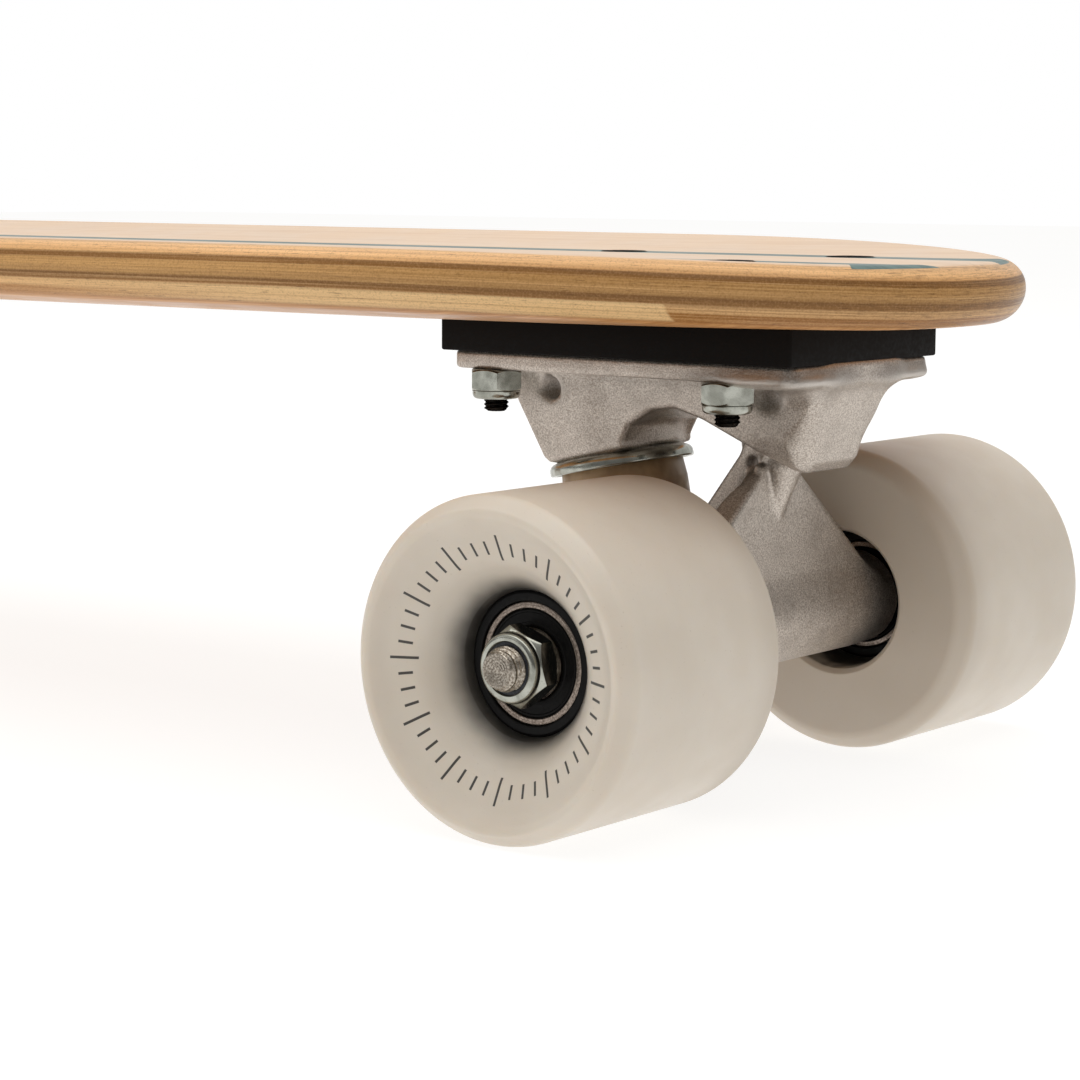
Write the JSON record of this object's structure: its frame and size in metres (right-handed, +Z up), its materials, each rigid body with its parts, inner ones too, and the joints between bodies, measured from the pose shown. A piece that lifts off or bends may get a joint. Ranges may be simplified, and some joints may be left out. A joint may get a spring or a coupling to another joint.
{
  "type": "skateboard",
  "caption": "Cruiser skateboard with a clear-coated laminated deck, raised tail, kingpin trucks on riser pads, and urethane wheels on sealed ball bearings.",
  "frame": {"origin": "on the ground, under the middle of the deck's length and width", "axes": "+X towards the nose, +Y to the rider's left, +Z up"},
  "size_m": [0.69, 0.1588, 0.12],
  "materials": {
    "wood": "gloss clear coat",
    "riser_rubber": "matte",
    "cast_aluminium": "tumbled",
    "zinc_steel": "bright zinc",
    "black_steel": "black oxide",
    "axle_steel": "turned",
    "bearing_steel": "ground",
    "bushing_urethane": "satin",
    "cup_urethane": "satin",
    "wheel_urethane": "satin",
    "core_plastic": "satin",
    "seal_rubber": "satin",
    "nylon": "satin"
  },
  "bodies": {
    "board": {"deck": "wood", "locknut_inserts": "nylon", "front_riser_pad": "riser_rubber", "front_baseplate": "cast_aluminium", "front_mounting_bolts": "black_steel", "front_mounting_nuts": "zinc_steel", "front_kingpin": "zinc_steel", "front_kingpin_nut": "zinc_steel", "front_kingpin_washers": "zinc_steel", "front_upper_bushing": "bushing_urethane", "front_lower_bushing": "bushing_urethane", "front_pivot_cup": "cup_urethane", "rear_riser_pad": "riser_rubber", "rear_baseplate": "cast_aluminium", "rear_mounting_bolts": "black_steel", "rear_mounting_nuts": "zinc_steel", "rear_kingpin": "zinc_steel", "rear_kingpin_nut": "zinc_steel", "rear_kingpin_washers": "zinc_steel", "rear_upper_bushing": "bushing_urethane", "rear_lower_bushing": "bushing_urethane", "rear_pivot_cup": "cup_urethane"},
    "front_truck": {"front_hanger": "cast_aluminium", "front_axle": "axle_steel", "front_axle_nuts": "zinc_steel", "front_axle_nut_inserts": "nylon", "front_axle_washers": "zinc_steel", "front_bearing_spacers": "zinc_steel", "front_bearing_inner_rings": "bearing_steel"},
    "front_left_wheel_unit": {"front_left_wheel": "wheel_urethane", "front_left_wheel_core": "core_plastic", "front_left_bearing_outer_rings": "bearing_steel", "front_left_bearing_seals": "seal_rubber"},
    "front_left_ball_set": {"front_left_bearing_balls": "bearing_steel", "front_left_bearing_cages": "nylon"},
    "front_right_wheel_unit": {"front_right_wheel": "wheel_urethane", "front_right_wheel_core": "core_plastic", "front_right_bearing_outer_rings": "bearing_steel", "front_right_bearing_seals": "seal_rubber"},
    "front_right_ball_set": {"front_right_bearing_balls": "bearing_steel", "front_right_bearing_cages": "nylon"},
    "rear_truck": {"rear_hanger": "cast_aluminium", "rear_axle": "axle_steel", "rear_axle_nuts": "zinc_steel", "rear_axle_nut_inserts": "nylon", "rear_axle_washers": "zinc_steel", "rear_bearing_spacers": "zinc_steel", "rear_bearing_inner_rings": "bearing_steel"},
    "rear_left_wheel_unit": {"rear_left_wheel": "wheel_urethane", "rear_left_wheel_core": "core_plastic", "rear_left_bearing_outer_rings": "bearing_steel", "rear_left_bearing_seals": "seal_rubber"},
    "rear_left_ball_set": {"rear_left_bearing_balls": "bearing_steel", "rear_left_bearing_cages": "nylon"},
    "rear_right_wheel_unit": {"rear_right_wheel": "wheel_urethane", "rear_right_wheel_core": "core_plastic", "rear_right_bearing_outer_rings": "bearing_steel", "rear_right_bearing_seals": "seal_rubber"},
    "rear_right_ball_set": {"rear_right_bearing_balls": "bearing_steel", "rear_right_bearing_cages": "nylon"}
  },
  "joints": [
    {"name": "front_truck_lean", "type": "hinge", "parent": "board", "child": "front_truck", "pos_m": [0.26867, 0, 0.04241], "axis": [0.809, 0, 0.5878], "range_deg": [-18, 18], "stiffness_Nm_per_rad": 30, "deforming": ["front_upper_bushing", "front_lower_bushing"]},
    {"name": "front_left_wheel_spin", "type": "hinge", "parent": "front_truck", "child": "front_left_wheel_unit", "pos_m": [0.295, 0, 0.0304], "axis": [0, 1, 0], "continuous": true},
    {"name": "front_left_balls_roll", "type": "hinge", "parent": "front_truck", "child": "front_left_ball_set", "pos_m": [0.295, 0, 0.0304], "axis": [0, 1, 0], "continuous": true},
    {"name": "front_right_wheel_spin", "type": "hinge", "parent": "front_truck", "child": "front_right_wheel_unit", "pos_m": [0.295, 0, 0.0304], "axis": [0, 1, 0], "continuous": true},
    {"name": "front_right_balls_roll", "type": "hinge", "parent": "front_truck", "child": "front_right_ball_set", "pos_m": [0.295, 0, 0.0304], "axis": [0, 1, 0], "continuous": true},
    {"name": "rear_truck_lean", "type": "hinge", "parent": "board", "child": "rear_truck", "pos_m": [-0.15867, 0, 0.04241], "axis": [0.809, 0, -0.5878], "range_deg": [-18, 18], "stiffness_Nm_per_rad": 30, "deforming": ["rear_upper_bushing", "rear_lower_bushing"]},
    {"name": "rear_left_wheel_spin", "type": "hinge", "parent": "rear_truck", "child": "rear_left_wheel_unit", "pos_m": [-0.185, 0, 0.0304], "axis": [0, 1, 0], "continuous": true},
    {"name": "rear_left_balls_roll", "type": "hinge", "parent": "rear_truck", "child": "rear_left_ball_set", "pos_m": [-0.185, 0, 0.0304], "axis": [0, 1, 0], "continuous": true},
    {"name": "rear_right_wheel_spin", "type": "hinge", "parent": "rear_truck", "child": "rear_right_wheel_unit", "pos_m": [-0.185, 0, 0.0304], "axis": [0, 1, 0], "continuous": true},
    {"name": "rear_right_balls_roll", "type": "hinge", "parent": "rear_truck", "child": "rear_right_ball_set", "pos_m": [-0.185, 0, 0.0304], "axis": [0, 1, 0], "continuous": true}
  ],
  "couplings": [
    {"joint": "front_left_balls_roll", "follows": "front_left_wheel_spin", "ratio": 0.63233},
    {"joint": "front_right_balls_roll", "follows": "front_right_wheel_spin", "ratio": 0.63233},
    {"joint": "rear_left_balls_roll", "follows": "rear_left_wheel_spin", "ratio": 0.63233},
    {"joint": "rear_right_balls_roll", "follows": "rear_right_wheel_spin", "ratio": 0.63233}
  ]
}
